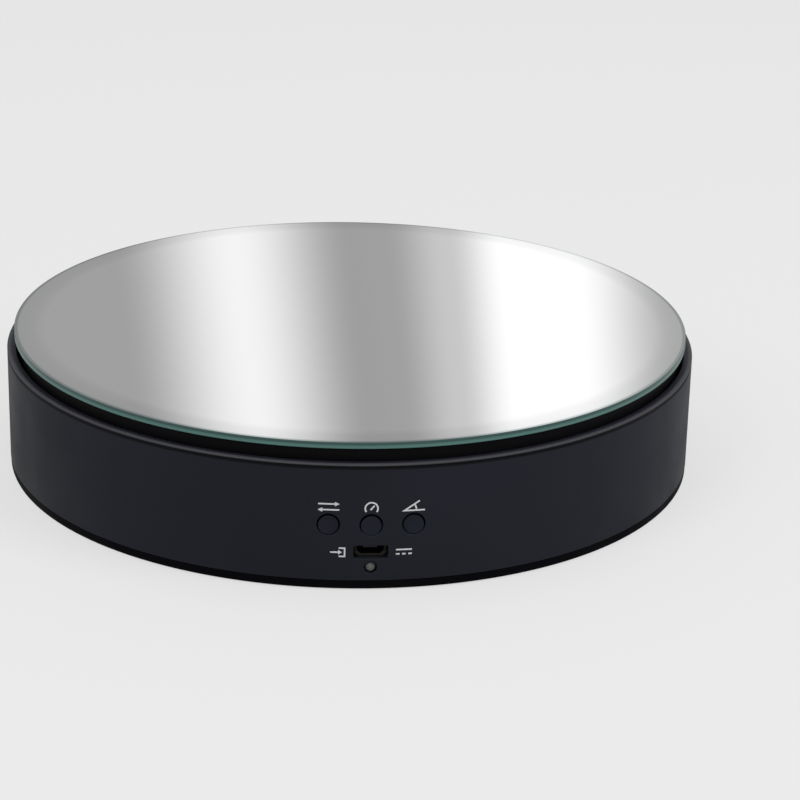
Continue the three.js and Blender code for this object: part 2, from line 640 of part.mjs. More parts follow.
// The micro-B mouth: square upper corners and chamfered lower ones.
function socketOutline(grow) {
  const w = SOCKET.width / 2 + grow;
  const h = SOCKET.height / 2 + grow;
  const { chamfer } = SOCKET;
  return [[-w, h], [-w, chamfer - h], [chamfer - w, -h], [w - chamfer, -h], [w, chamfer - h], [w, h]];
}

// Extrudes an [x, z] outline along Y from y0 to y1, at the socket's height.
const alongY = (outline, y0, y1, holes) =>
  prism(outline, -y1, -y0, holes).rotateX(Math.PI / 2).translate(0, 0, PANEL.socketZ);

function socketShell() {
  const backY = BOARD.frontY - SEAM;
  const mouthY = backY - SOCKET.depth;
  const sleeve = solid(alongY(socketOutline(0), mouthY, backY - 0.8, [socketOutline(-SOCKET.sheet)]));
  const lip = solid(alongY(socketOutline(SOCKET.flare), mouthY - SOCKET.flare, mouthY + 0.05,
    [socketOutline(-SOCKET.sheet)]));
  return mesh('usb_shell', join(sleeve, lip), steel);
}

// The insulator behind the sleeve, with the tongue that carries the contacts.
function socketTongue() {
  const backY = BOARD.frontY - SEAM;
  const inside = SOCKET.height / 2 - SOCKET.sheet;
  const base = solid(alongY(socketOutline(-SOCKET.sheet - 0.1), backY - 1.6, backY));
  const tongue = solid(block(-1.9, 1.9, backY - SOCKET.depth + 0.8, backY - 1.5,
    PANEL.socketZ + inside - 1.1, PANEL.socketZ + inside - 0.5));
  return mesh('usb_tongue', join(base, tongue), chipBlack);
}

function statusLamp() {
  const tipY = wallY(0) + LAMP.sunk;
  const flangeY = tipY + LAMP.length - 1;
  const backY = tipY + LAMP.length;
  const dome = [0, 1, 2, 3].map((i) => {
    const [along, out] = polar(LAMP.r, (i / 3) * (Math.PI / 2));
    return [out, tipY + LAMP.r - along];
  });
  const body = solid(turned([
    ...dome, [LAMP.r, flangeY], [LAMP.flangeR, flangeY], [LAMP.flangeR, backY], [0, backY],
  ], SMALL).rotateX(-Math.PI / 2));
  const { leadX, leadHalf } = LAMP;
  const leads = [-1, 1].map((side) => solid(block(side * leadX - leadHalf, side * leadX + leadHalf,
    backY - 0.3, BOARD.frontY - SEAM, -leadHalf, leadHalf)));
  const made = mesh('status_lamp', join(body, ...leads), lampClear);
  made.position.z = PANEL.lampZ;
  return made;
}

// ---------------------------------------------------------------- parts on the board's back

const boardBackY = BOARD.frontY + BOARD.thick + SEAM;
const HEADER = { x: -8, z: 16.2, width: 14.6, height: 5.6, depth: 6, wall: 0.8 };

// A block on the board's back, given by its middle and its width and height there.
const onBoard = (x, z, width, height, y0, y1) =>
  block(x - width / 2, x + width / 2, boardBackY + y0, boardBackY + y1, z - height / 2, z + height / 2);

function chip(name, x, z, width, height) {
  const body = solid(onBoard(x, z, width, height, 0.1, 1.6));
  const legs = [-1.5, -0.5, 0.5, 1.5].map((k) =>
    solid(onBoard(x + (k * width) / 4.6, z, 0.4, height + 2, 0, 0.6)));
  return mesh(name, join(body, ...legs), chipBlack);
}

function motorHeader() {
  const { x, z, width, height, depth, wall } = HEADER;
  const outer = solid(onBoard(x, z, width, height, 0, depth));
  const cavity = solid(onBoard(x, z, width - 2 * wall, height - 2 * wall, 1.2, depth + 1));
  return mesh('motor_header', cut(outer, cavity), whiteNylon);
}

function motorPlug() {
  const { x, z, width, height, depth, wall } = HEADER;
  const slack = 2 * (wall + 0.2);
  return mesh('motor_plug', onBoard(x, z, width - slack, height - slack, 1.5, depth + 3), whiteNylon);
}

// The five motor leads, tied as one bundle between the plug and the hood.
function motorLead() {
  const leadR = 1.5;
  const plugEnd = new THREE.Vector3(HEADER.x, boardBackY + HEADER.depth + 3.3, HEADER.z);
  const hoodEnd = new THREE.Vector3(SHAFT_X, MOTOR_Y - MOTOR.r - 2.2, HOOD.exitZ);
  const route = new THREE.CatmullRomCurve3([
    plugEnd, plugEnd.clone().add(new THREE.Vector3(0, 5, -0.5)),
    new THREE.Vector3(-14, -62, 9), new THREE.Vector3(-26, -50, 6.5), new THREE.Vector3(-33, -40, 8.5),
    hoodEnd.clone().add(new THREE.Vector3(0, -5, -0.3)), hoodEnd,
  ]);
  const section = new THREE.Shape(circle(leadR, 8).map(([x, y]) => new THREE.Vector2(x, y)));
  return mesh('motor_lead', new THREE.ExtrudeGeometry(section, { steps: 24, extrudePath: route }), wireRed);
}

// ---------------------------------------------------------------- the assembly

const numbered = (list, make) => list.map((value, i) => make(value, i + 1));

const base = group(
  housing(), bottomCover(),
  ...numbered(quarterTurns, (a, n) => foot(`foot_${n}`, a)),
  ...numbered(diagonals, (a, n) => coverScrew(`cover_screw_${n}`, a)),
  spindle(), bearingRing('bearing_inner_ring', BEARING.pitchR - BEARING.land, BEARING.bore),
  retainingWasher(), retainingScrew(),
  ...numbered(diagonals, (a, n) => onTrack(axle(`roller_axle_${n}`), a)),
  motorCan(), motorEndPlate(), motorWireCover(),
  ...numbered([-1, 1], (side, n) => motorScrew(`motor_screw_${n}`, side)),
  controlBoard(), ...numbered([-1, 1], (side, n) => boardScrew(`board_screw_${n}`, side)),
  ...BUTTON_X.map((x, i) => switchBody(`switch_${BUTTON_NAMES[i]}`, x)),
  socketShell(), socketTongue(), statusLamp(),
  chip('motor_driver_chip', 8, 9.5, 9.9, 3.9), chip('controller_chip', 10, 17.5, 6, 3.9),
  motorHeader(), motorPlug(), motorLead()
);

const turntable = group(
  platter(), ringGear(), ...numbered(diagonals, (a, n) => gearScrew(`gear_screw_${n}`, a)),
  bearingRing('bearing_outer_ring', BEARING.pitchR + BEARING.land, BEARING.out),
  mirrorTape(), mirror()
);

const drive = group(motorShaft(), pinion());
drive.position.x = SHAFT_X;

const rollers = group(...numbered(diagonals, (a, n) => onTrack(roller(`roller_${n}`), a)));

const buttons = group(...BUTTON_X.flatMap((x, i) => [
  buttonCap(`button_${BUTTON_NAMES[i]}`, x), switchPlunger(`plunger_${BUTTON_NAMES[i]}`, x),
]));

const stand = group(base, turntable, drive, rollers, ballCage(), buttons);

export default stand;
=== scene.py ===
"""Looks of the motor-driven turntable display stand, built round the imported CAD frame."""
import math

import bmesh
import bpy
from mathutils import Matrix, Vector


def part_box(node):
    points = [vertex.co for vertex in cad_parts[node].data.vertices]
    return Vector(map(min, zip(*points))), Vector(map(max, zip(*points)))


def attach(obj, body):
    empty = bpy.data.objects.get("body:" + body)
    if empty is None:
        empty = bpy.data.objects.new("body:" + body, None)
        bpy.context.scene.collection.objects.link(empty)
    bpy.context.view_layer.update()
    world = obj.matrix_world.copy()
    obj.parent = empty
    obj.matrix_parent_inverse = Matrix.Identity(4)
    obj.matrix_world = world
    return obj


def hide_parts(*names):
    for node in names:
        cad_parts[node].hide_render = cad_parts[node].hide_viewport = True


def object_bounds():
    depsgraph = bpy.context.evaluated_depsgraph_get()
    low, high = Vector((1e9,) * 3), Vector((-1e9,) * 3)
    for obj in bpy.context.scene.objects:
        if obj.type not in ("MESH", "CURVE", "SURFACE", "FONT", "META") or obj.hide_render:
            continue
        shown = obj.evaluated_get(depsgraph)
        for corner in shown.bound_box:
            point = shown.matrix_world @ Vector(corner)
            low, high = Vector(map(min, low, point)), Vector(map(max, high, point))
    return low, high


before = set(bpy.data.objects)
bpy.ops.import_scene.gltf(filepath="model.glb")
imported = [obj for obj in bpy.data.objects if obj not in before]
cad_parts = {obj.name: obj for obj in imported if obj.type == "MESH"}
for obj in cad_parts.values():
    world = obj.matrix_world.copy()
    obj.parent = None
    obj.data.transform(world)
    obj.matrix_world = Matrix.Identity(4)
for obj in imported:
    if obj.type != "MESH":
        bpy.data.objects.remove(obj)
cad_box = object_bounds()
MM = 0.001

# ---------------------------------------------------------------- dimensions, in millimetres

TOP_Z = cad_box[1].z / MM  # the mirror's face
BODY_R = cad_box[1].x / MM  # the housing
WALL = 2.5
RIM_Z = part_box("housing")[1].z / MM
RIM_LINE = {"low": RIM_Z - 1.45, "high": RIM_Z - 0.5, "deep": 0.3}  # shallow line turned below the rim
SEAM = 0.1
COVER = {"top": 2.7, "bottom": 0.3, "lip_in": 92.9, "lip_out": 94.6, "lip_top": 4.1}
MIRROR = {"r": 95.4, "thick": 1.8, "arris": 0.12}
PLATTER = {"r": 94.0, "hole": 8.6, "top": 37.7, "plate": 35.4, "skirt_z": 33.0, "skirt": 2.0}
TAPE = {"inner": 12.0, "outer": 90.0}
FOOT = {"r": 7.0, "recess_r": 7.2, "recess_top": 1.5, "at_r": 82.0}
SCREW = {"head_r": 2.6, "shank_r": 1.4, "seat": 1.7, "recess_r": 2.75, "bore_r": 1.45, "at_r": 87.0}

BUTTON = {
    "r": 2.65, "hole_r": 3.0, "flange_r": 3.7, "z": 18.2, "step": 10.9, "pad_y": -93.3, "sunk": 0.2,
    "sag": 0.3,  # how low a cap sits in its hole
}
SOCKET = {"z": 10.7, "window_w": 8.9, "window_h": 3.6, "width": 7.5, "height": 2.9, "sheet": 0.3}
LAMP = {
    "z": 6.4, "r": 1.5, "hole_r": 1.65, "length": 4.3, "flange_r": 1.9, "flange": 1.0,
    "lead_x": 1.27, "lead_half": 0.25,
}
TONGUE = {"width": 3.8, "down": 0.5, "thick": 0.6, "base": 1.6}  # insulator inside the socket
CONTACT = {"half": 0.16, "at": (-1.3, -0.65, 0.0, 0.65, 1.3), "low": 0.08, "high": 0.01, "short": 0.9}
LEGEND = {
    "line": 0.4, "proud": 0.03, "sunk": 0.05, "z": 23.2, "beside": 8.5,
    "strip": 0.4,  # a sign is cut into strips this wide, so that it bends with the wall
}

ROUND = 256  # sides of the drum, the platter and the mirror
SMALL_ROUND = 64
EASE = 0.22  # chamfer round an opening
QUARTERS = [k * math.pi / 2 for k in range(4)]
DIAGONALS = [a + math.pi / 4 for a in QUARTERS]
BUTTONS = {"direction": -BUTTON["step"], "speed": 0.0, "angle": BUTTON["step"]}

# The camera, from the photograph's framing: degrees and millimetres.
CAMERA = {"azimuth": -4.7, "elevation": 20.78, "roll": 1.309, "distance": 746.1, "lens": 116.22}
CAMERA_SLIDE = (14.44, -4.48)  # how far the camera stands to its own right and up from the aim
CAMERA_AIM_Z = 20.0

# The room: colours are sRGB and light levels are linear. Upright panels stand round it, one set every
# so many degrees. Each panel level is given with its place in the set, in degrees.
STUDIO = {
    "floor_r": 4000,
    "floor_thick": 2,
    "floor": (100, 100, 100),
    "floor_glow": 0.62,
    "floor_bounce": 0.4,
    "backdrop": (234, 234, 234),
    "period": 18.0,
    "first": -7.6,
    "slant": 8.0,
    "panels": [
        (0.0, 0.40), (3.1, 0.40), (6.0, 1.03), (8.7, 0.39), (9.5, 0.40),
        (10.9, 0.65), (12.3, 1.17), (13.7, 1.17), (16.1, 0.52), (18.0, 0.40),
    ],
    "panel_top": 0.5,
    "ceiling_from": 0.66,
    "ceiling": 0.8,
}

# Soft lights: name, place and aim in metres, width, height, watts.
LIGHTS = [
    ("overhead", (0.0, 0.25, 1.4), (0, 0, 0), 1.2, 0.9, 6.0),
    ("left_front", (-0.7, -0.75, 0.9), (0, 0, 0.02), 0.6, 0.6, 7.0),
    ("right_front", (0.95, -0.55, 0.9), (0, 0, 0.02), 0.6, 0.6, 10.0),
]

# ---------------------------------------------------------------- mesh helpers


def polar(r, angle):
    return r * math.cos(angle), r * math.sin(angle)


def rounded(profile, steps=5):
    """The profile's points, with an arc at each corner that gives a radius as its third number."""
    points = []
    for i, (x, y, *radius) in enumerate(profile):
        if not radius:
            points.append((x, y))
            continue
        corner = Vector((x, y))
        back = (Vector(profile[i - 1][:2]) - corner).normalized()
        on = (Vector(profile[(i + 1) % len(profile)][:2]) - corner).normalized()
        half = back.angle(on) / 2
        centre = corner + (back + on).normalized() * (radius[0] / math.sin(half))
        first = corner + back * (radius[0] / math.tan(half)) - centre
        last = corner + on * (radius[0] / math.tan(half)) - centre
        start = math.atan2(first.y, first.x)
        sweep = (math.atan2(last.y, last.x) - start + math.pi) % (2 * math.pi) - math.pi
        for k in range(steps + 1):
            dx, dy = polar(radius[0], start + sweep * k / steps)
            points.append((centre.x + dx, centre.y + dy))
    return points


def loft(rings, closed=False):
    """A bmesh that joins rings of points. A ring of one point closes that end.

    With closed, the last ring joins the first.
    """
    bm = bmesh.new()
    made = [[bm.verts.new(Vector(p) * MM) for p in ring] for ring in rings]
    pairs = list(zip(made, made[1:]))
    if closed:
        pairs.append((made[-1], made[0]))
    for low, high in pairs:
        sides = max(len(low), len(high))
        for k in range(sides):
            n = (k + 1) % sides
            corners = [low[k % len(low)], low[n % len(low)], high[n % len(high)], high[k % len(high)]]
            face = list(dict.fromkeys(corners))
            if len(face) > 2:
                bm.faces.new(face)
    for ring in (made[0], made[-1]):
        if not closed and len(ring) > 2:
            bm.faces.new(ring)
    bmesh.ops.recalc_face_normals(bm, faces=bm.faces)
    return bm


def turned(profile, sides):
    """A profile of (radius, height) points turned about Z. It ends on the axis, or joins itself."""
    rings = []
    for r, z in profile:
        at_axis = r < 1e-6
        count = 1 if at_axis else sides
        rings.append([(*polar(r, 2 * math.pi * k / sides), z) for k in range(count)])
    return loft(rings, closed=profile[0][0] > 1e-6)


def block(x0, x1, y0, y1, z0, z1):
    return loft([[(x0, y0, z), (x1, y0, z), (x1, y1, z), (x0, y1, z)] for z in (z0, z1)])


def moved(bm, matrix):
    """The bmesh moved by a matrix whose translation is in millimetres."""
    scaled = matrix.copy()
    scaled.translation *= MM
    bmesh.ops.transform(bm, matrix=scaled, verts=bm.verts)
    return bm


def shift(x, y, z=0.0):
    return Matrix.Translation((x, y, z))


def along_y(x, z):
    """Turns what was made along +Z so that its +Z points out of the panel, along -Y, at that place."""
    return shift(x, 0, z) @ Matrix.Rotation(math.pi / 2, 4, "X")


def joined(*parts):
    """Several bmeshes as one."""
    whole = bmesh.new()
    for part in parts:
        mesh = bpy.data.meshes.new("part")
        part.to_mesh(mesh)
        part.free()
        whole.from_mesh(mesh)
        bpy.data.meshes.remove(mesh)
    return whole


def new_object(name, bm):
    mesh = bpy.data.meshes.new(name)
    bm.to_mesh(mesh)
    bm.free()
    made = bpy.data.objects.new(name, mesh)
    bpy.context.scene.collection.objects.link(made)
    return made


def combined(target, operation, tools):
    """The target after a boolean with each tool, which is used up."""
    for bm in tools:
        tool = new_object("tool", bm)
        modifier = target.modifiers.new("boolean", "BOOLEAN")
        modifier.operation = operation
        modifier.solver = "MANIFOLD"
        modifier.object = tool
        bake(target)
        bpy.data.objects.remove(tool)
    return target


def bake(piece):
    """Applies a piece's modifiers to its mesh."""
    evaluated = piece.evaluated_get(bpy.context.evaluated_depsgraph_get())
    mesh = bpy.data.meshes.new_from_object(evaluated)
    mesh.name = piece.name
    piece.modifiers.clear()
    piece.data = mesh


def cad_copy(node, limit):
    """The part of a CAD node that lies inside a solid, as a new object."""
    piece = bpy.data.objects.new(node + "_inside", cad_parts[node].data.copy())
    bpy.context.scene.collection.objects.link(piece)
    bm = bmesh.new()
    bm.from_mesh(piece.data)
    bmesh.ops.remove_doubles(bm, verts=bm.verts, dist=1e-7)
    bm.to_mesh(piece.data)
    bm.free()
    return combined(piece, "INTERSECT", [limit])


def bmesh_of(piece):
    """The piece's mesh as a bmesh. The piece itself is used up."""
    bm = bmesh.new()
    bm.from_mesh(piece.data)
    bpy.data.objects.remove(piece)
    return bm


def smooth(mesh, degrees=32.0):
    """Smooth shading, broken at edges sharper than that."""
    bm = bmesh.new()
    bm.from_mesh(mesh)
    limit = math.radians(degrees)
    for face in bm.faces:
        face.smooth = True
    for edge in bm.edges:
        edge.smooth = len(edge.link_faces) == 2 and edge.calc_face_angle(0.0) < limit
    bm.to_mesh(mesh)
    bm.free()


def finish_piece(piece, body, material, slot, *nodes):
    """Smooths a piece, gives it its material, sets what it rides on, and hides the CAD nodes it stands
    for.
    """
    smooth(piece.data)
    if material:
        piece.data.materials.clear()
        piece.data.materials.append(material)
    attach(piece, body)
    if nodes:
        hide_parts(*nodes)
    return piece


# ---------------------------------------------------------------- material helpers


def linear(*rgb):
    """An sRGB colour of 0 to 255 as a linear RGBA."""
    parts = [c / 255 for c in rgb]
    return [c / 12.92 if c <= 0.04045 else ((c + 0.055) / 1.055) ** 2.4 for c in parts] + [1.0]


class Paint:
    """A new material with a Principled shader, and short calls that build its node tree."""

    def __init__(self, name, colour, roughness, metallic=0.0):
        self.material = bpy.data.materials.new(name)
        self.material.use_nodes = True
        self.tree = self.material.node_tree
        self.shader = self.tree.nodes["Principled BSDF"]
        self.place = self.node("ShaderNodeTexCoord").outputs["Object"]
        self.set("Base Color", colour)
        self.set("Roughness", roughness)
        self.set("Metallic", metallic)
        self.normal = None

    def node(self, kind, **settings):
        made = self.tree.nodes.new(kind)
        for key, value in settings.items():
            setattr(made, key, value)
        return made

    def link(self, source, target):
        self.tree.links.new(source, target)

    def set(self, socket, value):
        self.shader.inputs[socket].default_value = value
        return self

    def noise(self, scale, detail=3.0, stretch=(1, 1, 1)):
        """A noise pattern over the piece, in lumps per metre, squeezed along each axis by stretch."""
        mapping = self.node("ShaderNodeMapping")
        mapping.inputs["Scale"].default_value = stretch
        self.link(self.place, mapping.inputs["Vector"])
        made = self.node("ShaderNodeTexNoise")
        made.inputs["Scale"].default_value = scale
        made.inputs["Detail"].default_value = detail
        self.link(mapping.outputs["Vector"], made.inputs["Vector"])
        return made.outputs["Fac"]

    def ramp(self, factor, *stops):
        """A colour ramp of (position, colour) stops."""
        made = self.node("ShaderNodeValToRGB")
        elements = made.color_ramp.elements
        while len(elements) < len(stops):
            elements.new(0.5)
        for element, (position, colour) in zip(elements, stops):
            element.position = position
            element.color = colour
        self.link(factor, made.inputs["Fac"])
        return made.outputs["Color"]

    def span(self, factor, low, high, start=0.3, end=0.7):
        """The factor mapped from start..end to low..high."""
        made = self.node("ShaderNodeMapRange")
        for socket, value in zip(("From Min", "From Max", "To Min", "To Max"), (start, end, low, high)):
            made.inputs[socket].default_value = value
        self.link(factor, made.inputs["Value"])
        return made.outputs["Result"]

    def tint(self, factor, low, high):
        """The base colour varies from low to high with the factor."""
        self.link(self.ramp(factor, (0.32, low), (0.68, high)), self.shader.inputs["Base Color"])
        return self

    def height(self):
        """How high a point is, in metres."""
        split = self.node("ShaderNodeSeparateXYZ")
        self.link(self.place, split.inputs["Vector"])
        return split.outputs["Z"]

    def from_axis(self):
        """How far a point is from the Z axis, in metres."""
        flat = self.node("ShaderNodeVectorMath", operation="MULTIPLY")
        flat.inputs[1].default_value = (1, 1, 0)
        self.link(self.place, flat.inputs[0])
        length = self.node("ShaderNodeVectorMath", operation="LENGTH")
        self.link(flat.outputs["Vector"], length.inputs[0])
        return length.outputs["Value"]

    def both(self, first, second):
        """The product of two factors."""
        product = self.node("ShaderNodeMath", operation="MULTIPLY")
        self.link(first, product.inputs[0])
        self.link(second, product.inputs[1])
        return product.outputs["Value"]

    def blended(self, factor, colour):
        """The base colour gives way to another one as the factor nears 1."""
        base = self.shader.inputs["Base Color"]
        mix = self.node("ShaderNodeMix", data_type="RGBA")
        self.link(factor, mix.inputs["Factor"])
        self.link(base.links[0].from_socket, mix.inputs[6])
        mix.inputs[7].default_value = colour
        self.link(mix.outputs[2], base)
        return self

    def gloss(self, factor, low, high):
        """The roughness varies from low to high with the factor."""
        self.link(self.span(factor, low, high), self.shader.inputs["Roughness"])
        return self

    def bump(self, height, depth, strength=1.0):
        """Relief of that depth in metres, added to any bump set before."""
        made = self.node("ShaderNodeBump")
        made.inputs["Distance"].default_value = depth
        made.inputs["Strength"].default_value = strength
        self.link(height, made.inputs["Height"])
        if self.normal:
            self.link(self.normal, made.inputs["Normal"])
        self.normal = made.outputs["Normal"]
        self.link(self.normal, self.shader.inputs["Normal"])
        return self


def scaled(colour, share):
    return [c * share for c in colour[:3]] + [1.0]


def plastic(name, colour, roughness, grain=2600.0, depth=0.000006, specular=0.5, vary=0.12):
    """Moulded plastic: a fine spark-eroded grain, slow changes of shade and a few rubbed patches."""
    paint = Paint(name, colour, roughness).set("Specular IOR Level", specular)
    paint.tint(paint.noise(14.0), scaled(colour, 1 - vary), scaled(colour, 1 + vary))
    paint.gloss(paint.noise(55.0, 5.0), roughness * 0.88, min(1.0, roughness * 1.14))
    return paint.bump(paint.noise(grain, 2.0), depth)


def metal(name, colour, roughness, stretch=(1, 1, 1), scale=900.0, depth=0.000002):
    """Bare metal with machining marks drawn out along an axis."""
    paint = Paint(name, colour, roughness, 1.0)
    marks = paint.noise(scale, 4.0, stretch)
    paint.tint(paint.noise(60.0), scaled(colour, 0.86), colour)
    paint.gloss(marks, roughness * 0.75, roughness * 1.3)
    return paint.bump(marks, depth)


# ---------------------------------------------------------------- materials


def shell_black():
    """The housing's satin plastic, with a painted highlight on the rim's rounded corner and painted
    shade in the line below it.
    """
    paint = plastic("shell_black", linear(26, 28, 35), 0.48, specular=0.1)
    height = paint.height()
    # painted highlight: a paler band where the rim's rounded outer corner faces the light from above
    rim = paint.span(height, 0.0, 1.0, (RIM_Z - 0.42) * MM, (RIM_Z - 0.3) * MM)
    corner = paint.span(paint.from_axis(), 0.0, 1.0, (BODY_R - 1.2) * MM, (BODY_R - 0.9) * MM)
    paint.blended(paint.both(rim, corner), linear(56, 56, 60))
    # painted shade: a darker band in the shallow line turned below the rim
    line = paint.ramp(
        paint.span(height, 0.0, 1.0, (RIM_Z - 1.6) * MM, (RIM_Z - 0.4) * MM),
        (0.0, linear(0, 0, 0)),
        (0.3, linear(255, 255, 255)),
        (0.9, linear(255, 255, 255)),
        (1.0, linear(0, 0, 0)),
    )
    return paint.blended(line, linear(9, 9, 12)).material


def cover_black():
    paint = plastic("cover_black", linear(4, 4, 7), 0.62, grain=1500.0, depth=0.00001, specular=0.04)
    return paint.material


def platter_black():
    return plastic("platter_black", linear(9, 9, 11), 0.55, specular=0.08).material


def cap_black():
    paint = plastic("cap_black", linear(23, 26, 34), 0.4, grain=3600.0, depth=0.000003, specular=0.12)
    return paint.material


def foot_rubber():
    paint = plastic("foot_rubber", linear(30, 30, 30), 0.85, grain=1800.0, depth=0.000012, specular=0.3)
    return paint.material


def silver():
    """The mirror's face: silvering behind clear glass, with a painted reflection that darkens it towards
    the rim.
    """
    paint = Paint("mirror_silver", linear(238, 238, 238), 0.02, 1.0)
    out = paint.span(paint.from_axis(), 0.0, 1.0, 0.0, MIRROR["r"] * MM)
    # painted reflection: the silver grows darker towards the rim, and a grey-green band at the very edge
    # stands for the green glass edge seen through the glass
    colour = paint.ramp(
        out,
        (0.0, linear(238, 238, 238)),
        (0.91, linear(238, 238, 238)),
        (0.945, linear(227, 227, 227)),
        (0.988, linear(221, 222, 222)),
        (0.992, linear(176, 182, 181)),
        (1.0, linear(176, 182, 181)),
    )
    paint.link(colour, paint.shader.inputs["Base Color"])
    haze = paint.noise(9.0, 6.0, (1.0, 0.4, 1.0))
    return paint.gloss(haze, 0.012, 0.05).material


def mirror_back():
    """The grey protective paint on the mirror's underside."""
    return plastic("mirror_back_paint", linear(96, 99, 102), 0.6, grain=700.0).material


def glass_edge():
    """The ground edge of the float glass: deep green, with a painted reflection of the edge in the
    silvering as a paler band in its lower half.
    """
    paint = Paint("glass_edge", linear(60, 90, 85), 0.3)
    share = paint.span(paint.height(), 0.0, 1.0, (TOP_Z - MIRROR["thick"]) * MM, TOP_Z * MM)
    # painted reflection: paler low on the edge, deep green above
    colour = paint.ramp(
        share,
        (0.0, linear(52, 80, 76)),
        (0.2, linear(76, 110, 104)),
        (0.5, linear(68, 101, 96)),
        (0.62, linear(48, 74, 71)),
        (1.0, linear(50, 74, 71)),
    )
    paint.link(colour, paint.shader.inputs["Base Color"])
    paint.set("Specular IOR Level", 0.25).set("Coat Weight", 0.12).set("Coat Roughness", 0.1)
    return paint.bump(paint.noise(2200.0, 2.0, (1, 1, 0.2)), 0.000004).material


def white_tape():
    return plastic("white_tape", linear(226, 224, 216), 0.9, grain=900.0, depth=0.00004).material


def nylon():
    paint = plastic("white_nylon", linear(228, 225, 215), 0.38, grain=1400.0, depth=0.000003)
    paint.set("Subsurface Weight", 0.15).set("Subsurface Radius", (1, 0.9, 0.8))
    return paint.set("Subsurface Scale", 0.0015).material


def ground_steel():
    return metal("ground_steel", linear(196, 198, 200), 0.26, (1, 1, 6)).material


def zinc_plate():
    return metal("zinc_plate", linear(186, 188, 190), 0.36, scale=220.0, depth=0.000004).material


def nickel():
    # a dark grey, much darker than bare nickel, so that the sleeve shows dim in its window
    return metal("nickel", linear(44, 43, 39), 0.42, (6, 1, 6), scale=1800.0).material


def gold_contact():
    return metal("gold_contact", linear(176, 146, 88), 0.3, scale=2400.0).material


def black_oxide():
    return metal("black_oxide", linear(58, 58, 60), 0.42, scale=1600.0, depth=0.000004).material


def blue_hood():
    return plastic("blue_plastic", linear(46, 108, 180), 0.4).material


def solder_mask():
    """Green solder mask over copper: raised traces show as a lighter green."""
    base, trace = linear(24, 84, 48), linear(44, 118, 68)
    paint = Paint("board_green", base, 0.3)
    mapping = paint.node("ShaderNodeMapping")
    mapping.inputs["Rotation"].default_value = (math.pi / 2, 0, 0)
    paint.link(paint.place, mapping.inputs["Vector"])
    bricks = paint.node("ShaderNodeTexBrick")
    sizes = {"Scale": 320.0, "Mortar Size": 0.035, "Brick Width": 1.7, "Row Height": 0.42}
    for socket, value in sizes.items():
        bricks.inputs[socket].default_value = value
    paint.link(mapping.outputs["Vector"], bricks.inputs["Vector"])
    colour = paint.ramp(bricks.outputs["Fac"], (0.0, base), (1.0, trace))
    paint.link(colour, paint.shader.inputs["Base Color"])
    return paint.bump(bricks.outputs["Fac"], 0.00003).material


def chip_epoxy():
    return plastic("chip_epoxy", linear(34, 34, 36), 0.6, grain=2200.0, depth=0.000008).material


def lamp_lens():
    """Smoke-grey translucent epoxy, unlit."""
    paint = plastic("lamp_lens", linear(84, 84, 83), 0.2, grain=900.0, depth=0.000001, specular=0.3)
    paint.set("Subsurface Weight", 0.3).set("Subsurface Radius", (1, 1, 1))
    return paint.set("Subsurface Scale", 0.002).material


def lead_red():
    return plastic("lead_insulation", linear(168, 58, 44), 0.45, grain=600.0).material


def legend_ink():
    paint = plastic("legend_ink", linear(184, 186, 188), 0.55, grain=5000.0, depth=0.000002, vary=0.05)
    return paint.material


# ---------------------------------------------------------------- housing, cover and feet


def housing():
    """The smooth wall and rim, joined to the deck, bosses and roller ears of the CAD node."""
    low, inner, inside_top = COVER["top"] + SEAM, BODY_R - WALL, RIM_Z - 1.6
    line_low, line_high, line_r = RIM_LINE["low"], RIM_LINE["high"], BODY_R - RIM_LINE["deep"]
    section = [
        (inner, low), (BODY_R, low, 0.15), (BODY_R, line_low),
        (line_r, line_low + 0.25, 0.1), (line_r, line_high - 0.2, 0.1),
        (BODY_R, line_high, 0.05), (BODY_R, RIM_Z, 0.4), (inner, RIM_Z, 0.25),
    ]
    skin = turned(rounded(section, 8), ROUND)
    keep = turned([(0, low), (inner + 1.2, low), (inner + 1.2, inside_top), (0, inside_top)], ROUND)
    piece = new_object("housing_shell", skin)
    combined(piece, "UNION", [bmesh_of(cad_copy("housing", keep))])
    combined(piece, "DIFFERENCE", panel_cutters())
    return finish_piece(piece, "base", shell_black(), "black_shell", "housing")


def panel_cutters():
    """The button holes, the socket's window and the lamp's hole, each with an eased outer edge."""
    holes = [(x, BUTTON["z"], BUTTON["hole_r"]) for x in BUTTONS.values()]
    holes.append((0.0, LAMP["z"], LAMP["hole_r"]))
    cutters = []
    for x, z, r in holes:
        bore = [(0, 90), (r, 90), (r, 100), (0, 100)]
        cutters.append(moved(turned(bore, SMALL_ROUND), along_y(x, z)))
        cone = [(0, -0.6), (r, -0.6), (r, -EASE), (r + EASE, 0), (r + EASE, 2), (0, 2)]
        lean = Matrix.Rotation(math.asin(x / BODY_R), 4, "Z")
        cutters.append(moved(turned(cone, SMALL_ROUND), lean @ along_y(0, z) @ shift(0, 0, BODY_R)))
    width, height = SOCKET["window_w"], SOCKET["window_h"]
    stations = [(92.0, 0), (BODY_R - EASE, 0), (BODY_R, EASE), (99.0, EASE)]
    rings = [rounded_rectangle(width + 2 * e, height + 2 * e, 0.5 + e, y) for y, e in stations]
    cutters.append(moved(loft(rings), along_y(0, SOCKET["z"])))
    return cutters


def rounded_rectangle(width, height, radius, z):
    w, h = width / 2, height / 2
    corners = [(w, h, radius), (-w, h, radius), (-w, -h, radius), (w, -h, radius)]
    return [(x, y, z) for x, y in rounded(corners, 6)]


